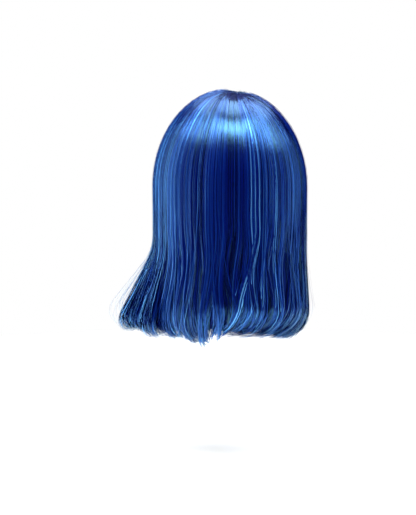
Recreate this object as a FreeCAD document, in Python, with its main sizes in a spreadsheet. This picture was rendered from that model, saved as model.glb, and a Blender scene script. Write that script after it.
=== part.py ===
"""Costume wig: a straight bob of synthetic fibre on a machine-wefted cap, in millimetres.

Frame: +Z up, -Y where the face looks out, +X the wearer's left. The origin is the inside of
the cap at the top of the head, where the wig bears on the head.

The cap follows a head form, an ellipsoid. Its layers stand at given offsets outside that form:
bands and tapes, then the net, then the weft rows, then the hair. The hair below the widest line
of the head hangs in sections, and each section is a solid between two lofted surfaces.
"""
import FreeCAD, Part
import Sketcher
import math
import os

Vector = FreeCAD.Vector
Rotation = FreeCAD.Rotation
Placement = FreeCAD.Placement

X_AXIS = Vector(1, 0, 0)
Y_AXIS = Vector(0, 1, 0)
Z_AXIS = Vector(0, 0, 1)

# Driving dimensions: alias, value, meaning. Lengths in mm, angles in degrees.
DIMENSIONS = [
    ("head_half_width", 75, "half the head form's width, along X"),
    ("head_half_length", 95, "half the head form's length, along Y"),
    ("head_height", 104, "widest line of the head to the inside of the cap's top"),
    ("band_outer", 1.0, "offset of the outside of the velvet bands and tapes"),
    ("net_outer", 1.8, "offset of the outside of the net"),
    ("skin_outer", 2.6, "offset of the outside of the skin patch"),
    ("weft_inner", 2.0, "offset of the inside of the weft rows"),
    ("weft_outer", 4.2, "offset of the outside of the weft rows"),
    ("hair_inner", 5.0, "offset of the underside of the hair"),
    ("hair_outer", 11.0, "offset of the outside of the hair at the sides, front and back"),
    ("hair_lift", 13.0, "offset of the outside of the hair at the crown"),
    ("fringe_outer", 10.0, "offset of the outside of the fringe"),
    ("face_tilt", 32, "lean of the face opening's plane from the vertical"),
    ("hairline_depth", 50, "depth of the front hairline below the origin"),
    ("hairline_reach", 81, "distance of the front hairline ahead of the origin"),
    ("front_band_width", 16, "width of the front band"),
    ("nape_depth", 160, "depth of the nape edge below the origin"),
    ("nape_band_width", 15, "width of the nape band"),
    ("tab_top_depth", 100, "depth of the ear tab's top edge"),
    ("tab_tip_depth", 119, "depth of the ear tab's tip"),
    ("ear_radius", 24, "radius of the cut-out above the ear"),
    ("ear_depth", 128, "depth of the ear cut-out's centre"),
    ("ear_back", -2, "Y of the ear cut-out's centre"),
    ("tab_back", -20, "Y where the ear tab ends and the ear binding starts"),
    ("binding_width", 8, "width of the ear binding"),
    ("stay_width", 3, "width of the ear tab's stay"),
    ("stay_length", 34, "length of the stay's run down the ear tab"),
    ("stay_margin", 3, "distance of the stay from the tab's edges"),
    ("tape_width", 9, "width of a back tape"),
    ("tape_start", 30, "distance of the middle tape's front end ahead of the origin"),
    ("side_tape_place", 34, "distance of a side back tape from the middle"),
    ("side_tape_start", 10, "distance of a side tape's front end ahead of the origin"),
    ("skin_radius", 36, "radius of the skin patch"),
    ("whorl_back", 18, "Y of the crown whorl"),
    ("weft_tilt", 20, "lean of the weft rows from the horizontal, lower at the back"),
    ("weft_height", 3.4, "height of a weft row"),
    ("weft_pitch", 10.5, "drop from one weft row to the next"),
    ("weft_first_depth", 122, "depth of the lowest weft row's plane below the origin, at Y 0"),
    ("split_gap", 0.6, "gap between the crown hair and a hanging section"),
    ("fringe_half_angle", 30, "half the fringe's angle round the head"),
    ("back_half_angle", 55, "half the back hair's angle round the head"),
    ("section_gap_angle", 0.6, "angle left open between two sections"),
    ("fringe_top_depth", 58, "depth of the fringe's top edge"),
    ("fringe_tip_depth", 101, "depth of the fringe's ends"),
    ("strap_centre_x", 8.5, "distance of an adjuster's turning centre from the middle"),
    ("strap_centre_y", 13.5, "Y of an adjuster's turning centre"),
    ("strap_depth", 152, "depth of an adjuster's middle line"),
    ("strap_radius", 68.3, "radius of an adjuster's outside at its middle line"),
    ("strap_slope", 0.42, "growth of that radius with height"),
    ("strap_height", 9, "height of an adjuster strap"),
    ("strap_thickness", 0.8, "thickness of an adjuster strap"),
    ("strap_root_angle", 78, "angle from the back to the strap's sewn end"),
    ("strap_end_angle", 43, "angle from the back to the strap's free end"),
    ("hinge_angle", 38, "angle from the back to the hook's bar"),
    ("bar_radius", 0.6, "radius of the hook's bar and wire"),
    ("bar_clearance", 0.08, "clearance of the hook's bar in its sewn loop"),
    ("loop_wall", 0.8, "wall of the sewn loop round the bar"),
    ("hook_length", 11, "length of the hook beyond its bar"),
    ("hook_width", 7, "distance between the hook's two arms"),
    ("hook_bend", 1.3, "radius of the bends between the bar and the arms"),
    ("hook_tongue", 5, "length of the hook's folded tongue"),
    ("tongue_radius", 0.45, "radius of the tongue's thinner wire"),
    ("hook_fold", 1.7, "distance of the tongue from the arms"),
    ("hook_toe", 5, "angle by which the hook follows the curve of the nape"),
    ("pocket_tape_start", 7, "distance of the pocket tape's inner end from the middle"),
    ("pocket_tape_end", 40, "distance of the pocket tape's outer end from the middle"),
    ("pocket_tape_inner", -1.1, "offset of the inside of the pocket tape"),
    ("pocket_tape_height", 9, "height of the pocket tape"),
    ("pocket_mouth", 0.7, "width of a pocket's mouth"),
    ("pocket_pitch", 7, "distance from one pocket to the next"),
    ("pocket_margin", 4, "distance of the first pocket from the tape's inner end"),
    ("pocket_hem", 1.5, "tape left above and below a pocket's mouth"),
]

WEFT_ROWS = 10
LOW_WEFT_ROWS = 3  # rows that start behind the ears
POCKETS = 4
TOOL_SPAN = 400  # side of the boxes and cylinders that only cut
HALF_SPAN = TOOL_SPAN / 2

# Hanging hair, from its top edge to its ends: drop below the widest line of the head, growth
# of the outline there, thickness of the hair, and the outward flare of the left side's front.
HAIR_SECTIONS = [
    (0, 0.0, 6.0, 0),
    (21, 0.0, 7.0, 0),
    (41, 0.0, 10.8, 0),
    (61, 0.0, 14.0, 0),
    (80, 0.0, 15.0, 3),
    (100, 0.5, 15.5, 13),
    (120, 1.5, 16.0, 20),
    (140, 1.0, 16.0, 29),
    (155, -2.0, 15.0, 36),
    (166, -8.0, 14.0, 33),
    (176, -16.0, 12.0, 26),
]
FLARE_ANGLE = 57  # plan angle of the flare, from the face towards the wearer's left

doc = FreeCAD.newDocument("CostumeWig")
sheet = doc.addObject("Spreadsheet::Sheet", "Sizes")
sheet.set("A1", "dimension")
sheet.set("B1", "value")
sheet.set("C1", "meaning")
for row, (alias, value, meaning) in enumerate(DIMENSIONS, start=2):
    sheet.set(f"A{row}", alias)
    sheet.set(f"B{row}", str(value))
    sheet.setAlias(f"B{row}", alias)
    sheet.set(f"C{row}", meaning)
doc.recompute()

sub_parts = []


def size(alias):
    """A driving dimension's value, for a shape that is worked out in this script."""
    return float(sheet.get(alias))


def bind(item, **sizes):
    """Bind an object's properties to expressions over the sheet; __ stands for a dot."""
    for name, expression in sizes.items():
        item.setExpression(name.replace("__", "."), expression)
    return item


def keep(item, label):
    """Mark an object as a sub-part that is written out under this label."""
    item.Label = label
    sub_parts.append(item)
    return item


def ellipsoid(name, offset, crown_offset=None):
    """A solid of the head form's shape, standing a given offset outside it."""
    form = doc.addObject("Part::Ellipsoid", name)
    return bind(
        form,
        Radius1=f"Sizes.head_height + {crown_offset or offset}",
        Radius2=f"Sizes.head_half_width + {offset}",
        Radius3=f"Sizes.head_half_length + {offset}",
        Placement__Base__z="-Sizes.head_height",
    )


def box(name, x, y, z, length, width, height):
    """A box from its low corner and sides, all of them expressions."""
    block = doc.addObject("Part::Box", name)
    return bind(
        block, Placement__Base__x=x, Placement__Base__y=y, Placement__Base__z=z,
        Length=length, Width=width, Height=height,
    )


def wide_box(name, y, z, width, height):
    """A box that spans the whole wig along X."""
    return box(name, f"-{HALF_SPAN}", y, z, f"{TOOL_SPAN}", width, height)


def cut(name, base, tool):
    """base without tool."""
    result = doc.addObject("Part::Cut", name)
    result.Base = base
    result.Tool = tool
    return result


def common(name, *shapes):
    """What all the shapes share."""
    result = doc.addObject("Part::MultiCommon", name)
    result.Shapes = list(shapes)
    return result


def fuse(name, *shapes):
    """The shapes as one solid."""
    result = doc.addObject("Part::MultiFuse", name)
    result.Shapes = list(shapes)
    return result


def mirrored(name, source):
    """The same shape on the wearer's other side."""
    result = doc.addObject("Part::Mirroring", name)
    result.Source = source
    result.Normal = X_AXIS
    return result


def keep_pair(shape, label):
    """Keep a left-hand shape, and its mirror image for the right."""
    keep(shape, f"left_{label}")
    keep(mirrored(f"{shape.Name}Mirror", shape), f"right_{label}")


def shell(name, inner, outer):
    """The layer between two ellipsoids."""
    return cut(name, outer, inner)


# ---------------------------------------------------------------------------
# Forms and zones that the cap's pieces share
# ---------------------------------------------------------------------------
head_form = ellipsoid("HeadForm", "0")
band_form = ellipsoid("BandForm", "Sizes.band_outer")
net_form = ellipsoid("NetForm", "Sizes.net_outer")
skin_form = ellipsoid("SkinForm", "Sizes.skin_outer")
hair_inner_form = ellipsoid("HairInnerForm", "Sizes.hair_inner")
hair_outer_form = ellipsoid("HairOuterForm", "Sizes.hair_outer", "Sizes.hair_lift")

band_layer = shell("BandLayer", head_form, band_form)
net_layer = shell("NetLayer", band_form, net_form)
skin_layer = shell("SkinLayer", net_form, skin_form)
hair_layer = shell("HairLayer", hair_inner_form, hair_outer_form)


def behind_face_plane(name, setback):
    """The half of space behind the face opening's plane, set back from it."""
    block = doc.addObject("Part::Box", name)
    block.Length = TOOL_SPAN
    block.Width = TOOL_SPAN
    block.Height = TOOL_SPAN
    tilt = "Sizes.face_tilt * 1 deg"
    turn = Rotation(X_AXIS, 1)
    block.Placement = Placement(Vector(-HALF_SPAN, 0, 0), turn)
    return bind(
        block,
        Placement__Rotation__Angle="Sizes.face_tilt",
        Placement__Base__y=f"-Sizes.hairline_reach + {HALF_SPAN} * sin({tilt})"
                           f" + {setback} * cos({tilt})",
        Placement__Base__z=f"-Sizes.hairline_depth - {HALF_SPAN} * cos({tilt})"
                           f" + {setback} * sin({tilt})",
    )


def ear_notch(name, growth):
    """The ear's cut-out: a round top, open below, larger by growth on every side."""
    radius = f"(Sizes.ear_radius + {growth})"
    top = doc.addObject("Part::Cylinder", f"{name}Top")
    top.Height = TOOL_SPAN
    top.Placement = Placement(Vector(-HALF_SPAN, 0, 0), Rotation(Y_AXIS, 90))
    bind(
        top, Radius=radius, Placement__Base__y="Sizes.ear_back",
        Placement__Base__z="-Sizes.ear_depth",
    )
    below = wide_box(
        f"{name}Below", f"Sizes.ear_back - {radius}", f"-Sizes.ear_depth - {HALF_SPAN}",
        f"2 * {radius}", f"{HALF_SPAN}",
    )
    return fuse(name, top, below)


above_nape = wide_box(
    "AboveNape", f"-{HALF_SPAN}", "-Sizes.nape_depth", f"{TOOL_SPAN}", f"{TOOL_SPAN}",
)
behind_face = behind_face_plane("BehindFace", "0")
behind_band = behind_face_plane("BehindBand", "Sizes.front_band_width")
notch = ear_notch("EarNotch", "0")
bound_notch = ear_notch("BoundNotch", "Sizes.binding_width")
cap_zone = cut("CapZone", common("CapZoneUncut", above_nape, behind_face), notch)


def build_bands():
    """The velvet bands, ear tabs and bindings that finish the cap's edge."""
    bands = common("Bands", band_layer, cap_zone)
    near_face = cut("NearFace", bands, behind_band)
    above_tabs = wide_box(
        "AboveTabs", f"-{HALF_SPAN}", "-Sizes.tab_top_depth", f"{TOOL_SPAN}", f"{TOOL_SPAN}",
    )
    keep(common("FrontBand", near_face, above_tabs), "front_band")

    tab_zone = box(
        "TabZone", "0", f"-{HALF_SPAN}", "-Sizes.tab_tip_depth", f"{HALF_SPAN}",
        f"{HALF_SPAN} + Sizes.tab_back", "Sizes.tab_tip_depth - Sizes.tab_top_depth",
    )
    keep_pair(common("EarTab", bands, tab_zone), "ear_tab")

    binding_zone = box(
        "BindingZone", "0", "Sizes.tab_back", "-Sizes.nape_depth + Sizes.nape_band_width",
        f"{HALF_SPAN}", f"{HALF_SPAN}", f"{HALF_SPAN}",
    )
    round_ear = common("RoundEar", bands, bound_notch)
    keep_pair(common("EarBinding", round_ear, binding_zone), "ear_binding")

    nape_zone = wide_box(
        "NapeZone", "0", "-Sizes.nape_depth", f"{HALF_SPAN}", "Sizes.nape_band_width",
    )
    keep(common("NapeBand", bands, nape_zone), "nape_band")


def build_stays():
    """The bendable strip behind each ear tab, just outside the net."""
    lean = doc.addObject("Part::Box", "StayZone")
    lean.Length = HALF_SPAN
    lean.Placement = Placement(Vector(0, 0, 0), Rotation(X_AXIS, 1))
    tilt = "Sizes.face_tilt * 1 deg"
    bind(
        lean, Width="Sizes.stay_width", Height="Sizes.stay_length",
        Placement__Rotation__Angle="Sizes.face_tilt",
        Placement__Base__y=f"-Sizes.hairline_reach + (Sizes.tab_tip_depth - Sizes.stay_margin"
                           f" - Sizes.hairline_depth) * tan({tilt}) + Sizes.stay_margin",
        Placement__Base__z="-Sizes.tab_tip_depth + Sizes.stay_margin",
    )
    keep_pair(common("EarStay", skin_layer, lean), "ear_stay")


def build_net_and_tapes():
    """The net over the whole cap, the tapes inside it and the skin patch at the whorl."""
    keep(common("CrownNet", net_layer, cap_zone), "crown_net")

    round_whorl = doc.addObject("Part::Cylinder", "SkinZone")
    bind(
        round_whorl, Radius="Sizes.skin_radius", Height=f"{HALF_SPAN}",
        Placement__Base__y="Sizes.whorl_back", Placement__Base__z="-Sizes.hairline_depth",
    )
    keep(common("SkinTop", skin_layer, round_whorl), "skin_top")

    tape_bottom = "-Sizes.nape_depth + Sizes.nape_band_width"
    centre_zone = box(
        "CentreTapeZone", "-Sizes.tape_width / 2", "-Sizes.tape_start", tape_bottom,
        "Sizes.tape_width", f"{TOOL_SPAN}", f"{TOOL_SPAN}",
    )
    keep(common("CentreTape", band_layer, centre_zone), "centre_back_tape")
    side_zone = box(
        "SideTapeZone", "Sizes.side_tape_place - Sizes.tape_width / 2",
        "-Sizes.side_tape_start", tape_bottom,
        "Sizes.tape_width", f"{TOOL_SPAN}", f"{TOOL_SPAN}",
    )
    keep_pair(common("SideTape", band_layer, side_zone), "back_tape")


def weft_outline(name, offset, row, level):
    """The ellipse where a weft row's leaning plane, raised by level, meets an offset form."""
    tilt = "Sizes.weft_tilt * 1 deg"
    wide = f"(Sizes.head_half_width + {offset})"
    deep = f"(Sizes.head_half_length + {offset})"
    tall = f"(Sizes.head_height + {offset})"
    reach = f"sqrt(({deep} * sin({tilt}))^2 + ({tall} * cos({tilt}))^2)"
    rise = f"(Sizes.head_height - Sizes.weft_first_depth + {row} * Sizes.weft_pitch)"
    lift = f"({rise} * cos({tilt}) + {level})"
    shrink = f"sqrt(1 - ({lift} / {reach})^2)"
    outline = doc.addObject("Part::Ellipse", name)
    lean = Rotation(X_AXIS, -size("weft_tilt"))
    outline.Placement = Placement(Vector(0, 0, 0), lean.multiply(Rotation(Z_AXIS, 90)))
    return bind(
        outline,
        MajorRadius=f"{deep} * {tall} / {reach} * {shrink}",
        MinorRadius=f"{wide} * {shrink}",
        Placement__Base__y=f"{lift} * {deep}^2 * sin({tilt}) / {reach}^2",
        Placement__Base__z=f"-Sizes.head_height + {lift} * {tall}^2 * cos({tilt}) / {reach}^2",
    )


def build_wefts():
    """The stitched rows that hold the heads of the fibres, one above the other."""
    sewn_zone = cut("SewnZone", common("SewnZoneUncut", above_nape, behind_band), bound_notch)
    behind_ear = wide_box(
        "BehindEar", "Sizes.ear_back", f"-{HALF_SPAN}", f"{HALF_SPAN}", f"{TOOL_SPAN}",
    )
    low_sewn_zone = common("LowSewnZone", sewn_zone, behind_ear)
    for row in range(WEFT_ROWS):
        rings = []
        for side in ("outer", "inner"):
            ring = doc.addObject("Part::Loft", f"Weft{side}{row + 1}")
            offset = f"Sizes.weft_{side}"
            ring.Sections = [
                weft_outline(f"WeftLow{side}{row + 1}", offset, row, "0"),
                weft_outline(f"WeftHigh{side}{row + 1}", offset, row, "Sizes.weft_height"),
            ]
            ring.Solid = True
            ring.Ruled = True
            rings.append(ring)
        strip = cut(f"WeftStrip{row + 1}", *rings)
        zone = low_sewn_zone if row < LOW_WEFT_ROWS else sewn_zone
        keep(common(f"WeftRow{row + 1}", strip, zone), f"weft_row_{row + 1:02d}")


# ---------------------------------------------------------------------------
# Adjusters at the nape
# ---------------------------------------------------------------------------
def cone_arc(name, outer_offset, thickness, height, start_angle, end_angle):
    """A strip on the cone that the nape follows, between two angles from the back."""
    solids = []
    for side, inset in (("Outer", "0"), ("Inner", thickness)):
        cone = doc.addObject("Part::Cone", f"{name}{side}")
        middle = f"(Sizes.strap_radius + {outer_offset} - {inset})"
        cone.Placement = Placement(Vector(0, 0, 0), Rotation(Z_AXIS, 1))
        bind(
            cone,
            Radius1=f"{middle} - Sizes.strap_slope * {height} / 2",
            Radius2=f"{middle} + Sizes.strap_slope * {height} / 2",
            Height=height,
            Angle=f"{start_angle} - {end_angle}",
            Placement__Base__x="-Sizes.strap_centre_x",
            Placement__Base__y="Sizes.strap_centre_y",
            Placement__Base__z=f"-Sizes.strap_depth - {height} / 2",
            Placement__Rotation__Angle=f"90 - {start_angle}",
        )
        solids.append(cone)
    return cut(name, *solids)


def hinge_place(radius):
    """Where a hook's bar stands on the wearer's left, and which way it faces."""
    angle = size("hinge_angle")
    turn = Rotation(Z_AXIS, 90 - angle)
    centre = Vector(-size("strap_centre_x"), size("strap_centre_y"), -size("strap_depth"))
    lean = Rotation(Y_AXIS, math.degrees(math.atan(size("strap_slope"))))
    return Placement(centre + turn.multVec(Vector(radius, 0, 0)), turn.multiply(lean))


def build_straps():
    """The elastic strap, and the loop sewn round the hook's bar at its free end."""
    keep_pair(
        cone_arc(
            "Strap", "0", "Sizes.strap_thickness", "Sizes.strap_height",
            "Sizes.strap_root_angle", "Sizes.strap_end_angle",
        ),
        "adjuster_strap",
    )
    place = hinge_place(size("strap_radius") - size("strap_thickness") / 2)
    roll = doc.addObject("Part::Cylinder", "LoopRoll")
    bore = doc.addObject("Part::Cylinder", "LoopBore")
    bore_radius = "(Sizes.bar_radius + Sizes.bar_clearance)"
    bind(roll, Radius=f"{bore_radius} + Sizes.loop_wall", Height="Sizes.hook_width - 2")
    bind(bore, Radius=bore_radius, Height="Sizes.hook_width")
    for cylinder, height in ((roll, size("hook_width") - 2), (bore, size("hook_width"))):
        start = place.Rotation.multVec(Vector(0, 0, -height / 2))
        cylinder.Placement = Placement(place.Base + start, place.Rotation)
    tail = cone_arc(
        "LoopTail", "0", "Sizes.strap_thickness", "(Sizes.hook_width - 2)",
        "Sizes.strap_end_angle", "Sizes.hinge_angle",
    )
    keep_pair(cut("StrapLoop", fuse("LoopUnbored", roll, tail), bore), "strap_loop")


def role_plane(body, role):
    """One of a body's own origin planes."""
    return next(item for item in body.Origin.OriginFeatures if item.Role == role)


def flat_sketch(body, name, role):
    """A sketch on one of the body's origin planes."""
    sketch = body.newObject("Sketcher::SketchObject", name)
    sketch.AttachmentSupport = [(role_plane(body, role), "")]
    sketch.MapMode = "FlatFace"
    return sketch


def wire_section(body, name, role, setback, radius):
    """A wire's round section on a plane of the body, moved along the plane's normal."""
    section = flat_sketch(body, name, role)
    section.AttachmentOffset = Placement(Vector(0, 0, setback), Rotation())
    section.addGeometry(Part.Circle(Vector(0, 0, 0), Z_AXIS, size(radius)))
    section.addConstraint(Sketcher.Constraint("Coincident", 0, 3, -1, 1))
    section.addConstraint(Sketcher.Constraint("Radius", 0, size(radius)))
    section.setExpression("Constraints[1]", f"Sizes.{radius}")
    return section


def wire(body, name, path, section):
    """Wire along a path sketch."""
    pipe = body.newObject("PartDesign::AdditivePipe", name)
    pipe.Profile = section
    pipe.Spine = path
    doc.recompute()
    body.Tip = pipe


def build_hooks():
    """The wire hook: a bar and two arms that meet at the nose, and a tongue folded back.

    The bar stands on the body's Z axis, the arms run along Y, and X points at the cap.
    """
    body = doc.addObject("PartDesign::Body", "HookBody")
    half = size("hook_width") / 2
    reach = size("hook_length")
    fold = size("hook_fold")
    bend = size("hook_bend")
    slant = bend * math.sqrt(0.5)

    loop = flat_sketch(body, "LoopPath", "YZ_Plane")
    shoulder = reach - half
    for side in (-1, 1):
        bar_end = Vector(0, side * (half - bend), 0)
        elbow = Vector(bend - slant, side * (half - bend + slant), 0)
        arm_start = Vector(bend, side * half, 0)
        arm_end = Vector(shoulder, side * half, 0)
        loop.addGeometry(Part.LineSegment(Vector(0, 0, 0), bar_end))
        loop.addGeometry(Part.Arc(bar_end, elbow, arm_start))
        loop.addGeometry(Part.LineSegment(arm_start, arm_end))
    low = Vector(shoulder, -half, 0)
    high = Vector(shoulder, half, 0)
    loop.addGeometry(Part.Arc(low, Vector(reach, 0, 0), high))
    bar_section = wire_section(body, "BarSection", "XY_Plane", 0, "bar_radius")
    wire(body, "WireLoop", loop, bar_section)

    tongue = flat_sketch(body, "TonguePath", "XY_Plane")
    nose = Vector(0, reach, 0)
    folded = Vector(fold, reach, 0)
    tongue.addGeometry(Part.Arc(nose, Vector(fold / 2, reach + fold / 2, 0), folded))
    tongue.addGeometry(Part.LineSegment(folded, Vector(fold, reach - size("hook_tongue"), 0)))
    tongue_section = wire_section(body, "TongueSection", "XZ_Plane", -reach, "tongue_radius")
    wire(body, "WireTongue", tongue, tongue_section)

    place = hinge_place(size("strap_radius") - size("strap_thickness") / 2)
    toe_in = Rotation(Z_AXIS, size("hook_toe"))
    body.Placement = Placement(place.Base, place.Rotation.multiply(toe_in))
    keep_pair(body, "hook")


def build_pocket_tapes():
    """The tape inside the nape band, slit for the mouths of its pockets."""
    tape_form = ellipsoid("TapeForm", "Sizes.pocket_tape_inner")
    tape_zone = box(
        "TapeZone", "Sizes.pocket_tape_start", "0",
        "-Sizes.strap_depth - Sizes.pocket_tape_height / 2",
        "Sizes.pocket_tape_end - Sizes.pocket_tape_start", f"{HALF_SPAN}",
        "Sizes.pocket_tape_height",
    )
    tape = common("PocketTape", shell("TapeLayer", tape_form, head_form), tape_zone)
    mouths = []
    for pocket in range(POCKETS):
        mouths.append(
            box(
                f"PocketMouth{pocket + 1}",
                f"Sizes.pocket_tape_start + Sizes.pocket_margin + {pocket} * Sizes.pocket_pitch",
                "0", "-Sizes.strap_depth - Sizes.pocket_tape_height / 2 + Sizes.pocket_hem",
                "Sizes.pocket_mouth", f"{HALF_SPAN}",
                "Sizes.pocket_tape_height - 2 * Sizes.pocket_hem",
            )
        )
    keep_pair(cut("SlitTape", tape, fuse("PocketMouths", *mouths)), "pocket_tape")


# ---------------------------------------------------------------------------
# Hair
# ---------------------------------------------------------------------------
def hanging_form(name, inset, flared):
    """The loft through the hanging hair's outline, inset by nothing or by its thickness."""
    sections = []
    for number, (drop, growth, thickness, flare) in enumerate(HAIR_SECTIONS, start=1):
        outline = doc.addObject("Part::Ellipse", f"{name}Outline{number}")
        outline.Placement = Placement(Vector(0, 0, 0), Rotation(Z_AXIS, 90))
        offset = f"Sizes.hair_outer + {growth} - {thickness if inset else 0}"
        shift = flare if flared else 0
        bind(
            outline,
            MajorRadius=f"Sizes.head_half_length + {offset}",
            MinorRadius=f"Sizes.head_half_width + {offset}",
            Placement__Base__x=f"{shift} * sin({FLARE_ANGLE} * 1 deg)",
            Placement__Base__y=f"-{shift} * cos({FLARE_ANGLE} * 1 deg)",
            Placement__Base__z=f"-Sizes.head_height - Sizes.split_gap - {drop}",
        )
        sections.append(outline)
    loft = doc.addObject("Part::Loft", name)
    loft.Sections = sections
    loft.Solid = True
    return loft


def sector(name, start, end, bottom, top):
    """A wedge of space between two plan angles from the face, and between two depths."""
    wedge = doc.addObject("Part::Cylinder", name)
    wedge.Placement = Placement(Vector(0, 0, 0), Rotation(Z_AXIS, 1))
    return bind(
        wedge, Radius=f"{HALF_SPAN}", Angle=f"({end}) - ({start})",
        Height=f"({bottom}) - ({top})",
        Placement__Base__z=f"-({bottom})",
        Placement__Rotation__Angle=f"({start}) - 90",
    )


def build_crown_and_fringe():
    """The hair that lies on the cap, and the fringe that hangs from the hairline."""
    above_widest = wide_box(
        "AboveWidest", f"-{HALF_SPAN}", "-Sizes.head_height", f"{TOOL_SPAN}", f"{HALF_SPAN}",
    )
    fringe_gap = sector(
        "FringeGap", "-Sizes.fringe_half_angle", "Sizes.fringe_half_angle",
        f"Sizes.head_height + {HALF_SPAN}", "Sizes.fringe_top_depth - Sizes.split_gap",
    )
    over_cap = common("HairOverCap", hair_layer, above_widest)
    keep(cut("CrownHair", over_cap, fringe_gap), "crown_hair")

    fringe_form = ellipsoid("FringeForm", "Sizes.fringe_outer")
    fringe_zone = sector(
        "FringeZone", "-Sizes.fringe_half_angle + Sizes.section_gap_angle / 2",
        "Sizes.fringe_half_angle - Sizes.section_gap_angle / 2",
        "Sizes.fringe_tip_depth", "Sizes.fringe_top_depth",
    )
    fringe_layer = shell("FringeLayer", hair_inner_form, fringe_form)
    keep(common("Fringe", fringe_layer, fringe_zone), "fringe_hair")


def build_hanging_hair():
    """The side and back sections; the left side flips out at the front, then hooks under."""
    straight = cut(
        "StraightHair", hanging_form("StraightOutside", False, False),
        hanging_form("StraightInside", True, False),
    )
    flared = cut(
        "FlaredHair", hanging_form("FlaredOutside", False, True),
        hanging_form("FlaredInside", True, True),
    )
    half_gap = "Sizes.section_gap_angle / 2"
    side_start = f"Sizes.fringe_half_angle + {half_gap}"
    side_end = f"180 - Sizes.back_half_angle - {half_gap}"
    zones = {
        "left_side_hair": (flared, side_start, side_end),
        "right_side_hair": (straight, f"-({side_end})", f"-({side_start})"),
        "back_hair": (
            straight, f"180 - Sizes.back_half_angle + {half_gap}",
            f"180 + Sizes.back_half_angle - {half_gap}",
        ),
    }
    for label, (layer, start, end) in zones.items():
        zone = sector(
            f"Zone_{label}", start, end, f"Sizes.head_height + {HALF_SPAN}", "Sizes.head_height",
        )
        keep(common(f"Hair_{label}", layer, zone), label)


def check_and_write():
    """Refuse any object that failed, then write every sub-part."""
    for item in doc.Objects:
        if "Invalid" in item.State or "Error" in item.State:
            raise RuntimeError(f"{item.Name} did not rebuild: {item.State}")
    for item in sub_parts:
        shape = item.Shape
        if shape.isNull() or not shape.isValid() or not shape.Solids:
            raise RuntimeError(f"{item.Label} has no sound solid")
        print(f"{item.Label}: {len(shape.Solids)} solid, {shape.Volume / 1000:.2f} cm3")
    os.makedirs("parts", exist_ok=True)
    for item in sub_parts:
        item.Shape.exportStep(os.path.join("parts", f"{item.Label}.step"))


build_bands()
build_stays()
build_net_and_tapes()
build_wefts()
build_straps()
build_hooks()
build_pocket_tapes()
build_crown_and_fringe()
build_hanging_hair()
doc.recompute()
check_and_write()
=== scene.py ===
"""Costume wig: the looks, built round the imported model. Metres, in the model's own frame.

+Z up, -Y where the face looks out, +X the wearer's left. Plan angles are measured from the face
towards the wearer's left. Every fibre follows one rule: it leaves the whorl, runs over the dome to
the widest line of the head, and hangs from there along a heading that flips out or curls under.
"""
import math

import bpy
import numpy as np
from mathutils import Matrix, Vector


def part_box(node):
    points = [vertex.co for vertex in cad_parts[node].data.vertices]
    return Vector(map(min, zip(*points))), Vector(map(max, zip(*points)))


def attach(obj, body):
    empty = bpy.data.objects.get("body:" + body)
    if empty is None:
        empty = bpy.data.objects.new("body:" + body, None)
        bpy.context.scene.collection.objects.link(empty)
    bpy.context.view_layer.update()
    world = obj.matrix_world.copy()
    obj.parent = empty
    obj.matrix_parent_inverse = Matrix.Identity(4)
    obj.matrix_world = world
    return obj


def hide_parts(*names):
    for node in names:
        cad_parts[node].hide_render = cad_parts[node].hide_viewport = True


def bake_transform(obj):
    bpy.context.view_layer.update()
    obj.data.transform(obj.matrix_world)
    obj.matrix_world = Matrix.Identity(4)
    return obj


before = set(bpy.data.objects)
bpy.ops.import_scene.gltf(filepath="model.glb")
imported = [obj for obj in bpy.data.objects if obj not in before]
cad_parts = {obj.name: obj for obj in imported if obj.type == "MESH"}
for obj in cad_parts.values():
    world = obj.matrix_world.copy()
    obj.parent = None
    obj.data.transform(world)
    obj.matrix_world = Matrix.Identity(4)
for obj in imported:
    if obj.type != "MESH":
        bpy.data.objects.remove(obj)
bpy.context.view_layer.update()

MM = 0.001
DEG = math.pi / 180
RNG = np.random.default_rng(412)

# ---------------------------------------------------------------------------
# Places read from the model
# ---------------------------------------------------------------------------
crown_low, crown_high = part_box("crown_hair")
WIDEST_Z = crown_low.z
DOME = np.array([crown_high.x, crown_high.y, crown_high.z - WIDEST_Z])

# The hair's own layout
WHORL = np.array([0.0, 20 * MM])
SWIRL = -0.35
FRINGE_HALF = 30 * DEG
BACK_START = 125 * DEG
# The left front flips out; the right rear hangs a little longer.
FLARE_ANGLE = 57 * DEG
FLARE_SPREAD = 27 * DEG
RIGHT_REAR = 203 * DEG
FLIP = 22 * DEG
HAIR_HANG = 200 * MM
# The hollow at the whorl
DIMPLE = 2.5 * MM
DIMPLE_REACH = 16 * MM
# Lengths down the hanging hair between which it bows out a little, and flips out where flared
BOW = 3.5 * DEG
BOW_SPAN = (70 * MM, 110 * MM)
FLIP_SPAN = (54 * MM, 92 * MM)
# Rings of a fibre over the dome and down its hanging part, which share one ring
DOME_POINTS = 14
HANG_POINTS = 26
FIBRE_POINTS = DOME_POINTS + HANG_POINTS - 1
TUBES_IN_PIECE = 620
LOOSE_LOOPS = 26
LOOSE_CROSSING = 60
# A fibre's thickness against its width, from its root to its end
DOMED = np.interp(
    np.arange(FIBRE_POINTS), [0, 12, 20, FIBRE_POINTS - 1], [0.6, 0.55, 0.28, 0.28],
)
# Shares of a fibre's length: the roots' pale part, the end of the painted shade over the crown, and
# where the painted highlight on the ends starts
ROOT_END, CROWN_SHADE_END, TIP_HIGHLIGHT_START = 0.12, 0.34, 0.84

# The head form and the cap's edges, in metres
HEAD = np.array([75, 95, 104]) * MM
FACE_TILT = 32 * DEG
HAIRLINE = np.array([-81, -50]) * MM
NAPE_Z = -160 * MM
EAR = np.array([-2, -128]) * MM
EAR_RADIUS = 24 * MM
THREAD_RADIUS = 0.22 * MM


# ---------------------------------------------------------------------------
# Small helpers
# ---------------------------------------------------------------------------
def smooth(x, low, high):
    """0 below low, 1 above high, smooth between."""
    t = np.clip((x - low) / (high - low), 0, 1)
    return t * t * (3 - 2 * t)


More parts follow.
